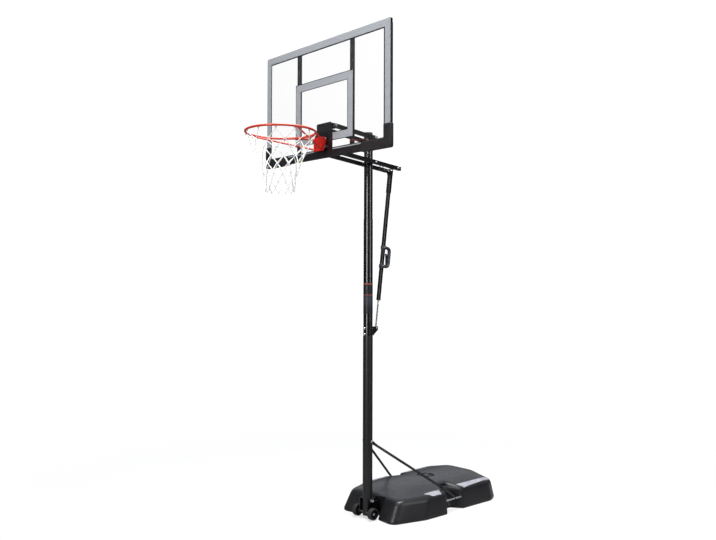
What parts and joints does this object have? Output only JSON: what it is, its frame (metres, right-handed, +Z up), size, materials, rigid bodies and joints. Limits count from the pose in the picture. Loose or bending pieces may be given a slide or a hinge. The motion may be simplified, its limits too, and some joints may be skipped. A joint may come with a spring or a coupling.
{
  "type": "portable basketball stand",
  "caption": "Free-standing basketball goal: low water-filled base with wheels, round jointed pole, parallel lift arms with a trigger strut, clear framed backboard, sprung rim and net.",
  "frame": {"origin": "on the ground, under the middle of the bounding box", "axes": "+Z up; -Y towards the playing side, the rim is at the -Y end and the base at the +Y end; +X to the right of someone who stands in front of the rim and faces the board"},
  "size_m": [1.336, 2.2296, 3.462],
  "materials": {
    "base_tank": "textured dark moulded plastic",
    "plug_front": "moulded black plastic",
    "plug_rear": "moulded black plastic",
    "foot_bracket": "gloss black powder coat",
    "foot_bolt": "zinc plated",
    "foot_anchor_bolt": "zinc plated",
    "wheel_axle": "zinc plated",
    "brace_left": "gloss black powder coat",
    "brace_right": "gloss black powder coat",
    "anchor_rod_left": "zinc plated",
    "anchor_rod_right": "zinc plated",
    "brace_bolt": "zinc plated",
    "pole_bottom": "gloss black powder coat",
    "pole_middle": "gloss black powder coat",
    "pole_top": "gloss black powder coat",
    "pole_cap": "moulded black plastic",
    "pole_label": "printed film",
    "strut_bracket": "gloss black powder coat",
    "strut_bracket_bolt_upper": "zinc plated",
    "strut_bracket_bolt_lower": "zinc plated",
    "strut_foot_pin": "zinc plated",
    "lower_pivot_bolt": "zinc plated",
    "upper_pivot_bolt": "zinc plated",
    "strut_rod": "polished",
    "fill_cap": "moulded black plastic",
    "wheel_left": "moulded black plastic",
    "wheel_right": "moulded black plastic",
    "lower_arm_left": "gloss black powder coat",
    "lower_arm_right": "gloss black powder coat",
    "arm_cap_left": "moulded white plastic",
    "arm_cap_right": "moulded white plastic",
    "strut_cross_pin": "zinc plated",
    "upper_arm_left": "gloss black powder coat",
    "upper_arm_right": "gloss black powder coat",
    "backboard_sheet": "clear sheet with a printed border",
    "frame_top": "gloss black powder coat",
    "frame_bottom": "gloss black powder coat",
    "frame_left": "gloss black powder coat",
    "frame_right": "gloss black powder coat",
    "upright_left": "gloss black powder coat",
    "upright_right": "gloss black powder coat",
    "pad_left": "moulded black plastic",
    "pad_right": "moulded black plastic",
    "board_bracket": "gloss black powder coat",
    "rim_backing_plate": "zinc plated",
    "front_lower_bolt": "zinc plated",
    "front_upper_bolt": "zinc plated",
    "rim_mount": "gloss black powder coat",
    "rim_hinge_pin": "zinc plated",
    "rim_spring_left": "zinc plated",
    "rim_spring_right": "zinc plated",
    "rim_ring": "orange-red gloss paint",
    "rim_bracket": "red gloss paint",
    "net": "woven white cord",
    "strut_tube": "gloss black powder coat",
    "strut_collar": "moulded black plastic",
    "strut_head": "gloss black powder coat",
    "lift_handle": "moulded blue-grey plastic",
    "trigger_pin": "zinc plated",
    "trigger": "moulded black plastic"
  },
  "bodies": {
    "stand": {"base_tank": "base_tank", "plug_front": "plug_front", "plug_rear": "plug_rear", "foot_bracket": "foot_bracket", "foot_bolt": "foot_bolt", "foot_anchor_bolt": "foot_anchor_bolt", "wheel_axle": "wheel_axle", "brace_left": "brace_left", "brace_right": "brace_right", "anchor_rod_left": "anchor_rod_left", "anchor_rod_right": "anchor_rod_right", "brace_bolt": "brace_bolt", "pole_bottom": "pole_bottom", "pole_middle": "pole_middle", "pole_top": "pole_top", "pole_cap": "pole_cap", "pole_label": "pole_label", "strut_bracket": "strut_bracket", "strut_bracket_bolt_upper": "strut_bracket_bolt_upper", "strut_bracket_bolt_lower": "strut_bracket_bolt_lower", "strut_foot_pin": "strut_foot_pin", "lower_pivot_bolt": "lower_pivot_bolt", "upper_pivot_bolt": "upper_pivot_bolt", "strut_rod": "strut_rod"},
    "fill_cap": {"fill_cap": "fill_cap"},
    "wheel_left": {"wheel_left": "wheel_left"},
    "wheel_right": {"wheel_right": "wheel_right"},
    "lower_arms": {"lower_arm_left": "lower_arm_left", "lower_arm_right": "lower_arm_right", "arm_cap_left": "arm_cap_left", "arm_cap_right": "arm_cap_right", "strut_cross_pin": "strut_cross_pin"},
    "upper_arms": {"upper_arm_left": "upper_arm_left", "upper_arm_right": "upper_arm_right"},
    "board": {"backboard_sheet": "backboard_sheet", "frame_top": "frame_top", "frame_bottom": "frame_bottom", "frame_left": "frame_left", "frame_right": "frame_right", "upright_left": "upright_left", "upright_right": "upright_right", "pad_left": "pad_left", "pad_right": "pad_right", "board_bracket": "board_bracket", "rim_backing_plate": "rim_backing_plate", "front_lower_bolt": "front_lower_bolt", "front_upper_bolt": "front_upper_bolt", "rim_mount": "rim_mount", "rim_hinge_pin": "rim_hinge_pin", "rim_spring_left": "rim_spring_left", "rim_spring_right": "rim_spring_right"},
    "rim": {"rim_ring": "rim_ring", "rim_bracket": "rim_bracket", "net": "net"},
    "strut_tube": {"strut_tube": "strut_tube", "strut_collar": "strut_collar", "strut_head": "strut_head", "lift_handle": "lift_handle", "trigger_pin": "trigger_pin"},
    "trigger": {"trigger": "trigger"}
  },
  "joints": [
    {"name": "cap_lift", "type": "slide", "parent": "stand", "child": "fill_cap", "axis": [0, 0, 1], "range_m": [0, 0.05]},
    {"name": "wheel_left_spin", "type": "hinge", "parent": "stand", "child": "wheel_left", "pos_m": [0, -0.0642, 0.045], "axis": [1, 0, 0], "continuous": true},
    {"name": "wheel_right_spin", "type": "hinge", "parent": "stand", "child": "wheel_right", "pos_m": [0, -0.0642, 0.045], "axis": [1, 0, 0], "continuous": true},
    {"name": "arms_lift", "type": "hinge", "parent": "stand", "child": "lower_arms", "pos_m": [0, -0.0402, 2.637], "axis": [-1, 0, 0], "range_deg": [-49.4, 49.9]},
    {"name": "upper_arms_follow", "type": "hinge", "parent": "stand", "child": "upper_arms", "pos_m": [0, -0.0402, 2.817], "axis": [-1, 0, 0], "range_deg": [-50.5, 51]},
    {"name": "board_level", "type": "hinge", "parent": "lower_arms", "child": "board", "pos_m": [0, -0.4402, 2.67059], "axis": [-1, 0, 0], "range_deg": [-51, 50.5]},
    {"name": "strut_extend", "type": "slide", "parent": "stand", "child": "strut_tube", "axis": [0, 0.1283, 0.9917], "range_m": [-0.1905, 0.1885]},
    {"name": "trigger_squeeze", "type": "hinge", "parent": "strut_tube", "child": "trigger", "pos_m": [0, 0.15325, 1.86395], "axis": [-1, 0, 0], "range_deg": [0, 8], "stiffness_Nm_per_rad": 0.5, "springref_deg": -17.19},
    {"name": "rim_tilt", "type": "hinge", "parent": "board", "child": "rim", "pos_m": [0, -0.5062, 2.754], "axis": [1, 0, 0], "range_deg": [0, 18], "stiffness_Nm_per_rad": 80, "springref_deg": -51.57, "deforming": ["rim_spring_left", "rim_spring_right"]}
  ],
  "couplings": [
    {"joint": "upper_arms_follow", "follows": "arms_lift", "ratio": 1},
    {"joint": "board_level", "follows": "arms_lift", "ratio": -1},
    {"joint": "strut_extend", "follows": "arms_lift", "m_per_rad": -0.218}
  ]
}
